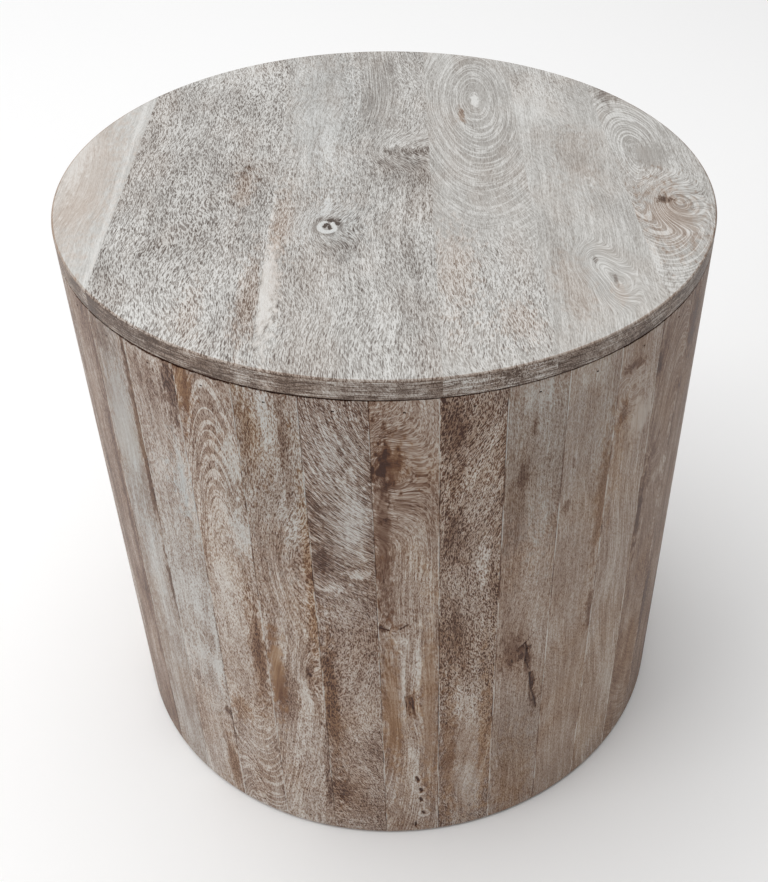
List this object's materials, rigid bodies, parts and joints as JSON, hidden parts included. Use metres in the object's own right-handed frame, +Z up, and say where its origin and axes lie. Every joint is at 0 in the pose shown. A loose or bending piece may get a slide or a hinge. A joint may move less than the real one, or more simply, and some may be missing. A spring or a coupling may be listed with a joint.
{
  "type": "side table",
  "caption": "Round drum side table: an edge-glued board top on a wall of upright staves, held by two inner rings, whitewashed, standing on glides.",
  "frame": {"origin": "on the floor, under the middle of the drum", "axes": "+Z up along the drum's axis; -Y is the front; the top's boards run along Y"},
  "size_m": [0.508, 0.508, 0.508],
  "materials": {
    "top_boards": "light grey whitewash over brown hardwood, matt to satin",
    "staves": "grey-brown whitewash over brown hardwood, matt to satin",
    "ring_wood": "raw sanded hardwood",
    "brad_steel": "bright wire, dulled",
    "screw_steel": "yellow zinc",
    "glide_plastic": "off-white nylon",
    "nail_steel": "bright zinc"
  },
  "bodies": {
    "root": {"top_board_1": "top_boards", "top_board_2": "top_boards", "top_board_3": "top_boards", "top_board_4": "top_boards", "top_board_5": "top_boards", "top_board_6": "top_boards", "stave_01": "staves", "stave_02": "staves", "stave_03": "staves", "stave_04": "staves", "stave_05": "staves", "stave_06": "staves", "stave_07": "staves", "stave_08": "staves", "stave_09": "staves", "stave_10": "staves", "stave_11": "staves", "stave_12": "staves", "stave_13": "staves", "stave_14": "staves", "stave_15": "staves", "stave_16": "staves", "stave_17": "staves", "stave_18": "staves", "stave_19": "staves", "stave_20": "staves", "stave_21": "staves", "stave_22": "staves", "stave_23": "staves", "stave_24": "staves", "stave_25": "staves", "stave_26": "staves", "stave_27": "staves", "stave_28": "staves", "stave_29": "staves", "stave_30": "staves", "stave_31": "staves", "stave_32": "staves", "stave_33": "staves", "stave_34": "staves", "stave_35": "staves", "upper_ring_1": "ring_wood", "upper_ring_2": "ring_wood", "upper_ring_3": "ring_wood", "upper_ring_4": "ring_wood", "upper_ring_5": "ring_wood", "upper_ring_6": "ring_wood", "upper_ring_7": "ring_wood", "lower_ring_1": "ring_wood", "lower_ring_2": "ring_wood", "lower_ring_3": "ring_wood", "lower_ring_4": "ring_wood", "lower_ring_5": "ring_wood", "lower_ring_6": "ring_wood", "lower_ring_7": "ring_wood", "upper_brads": "brad_steel", "lower_brads": "brad_steel", "top_screws": "screw_steel", "glides": "glide_plastic", "glide_nails": "nail_steel"}
  },
  "joints": []
}
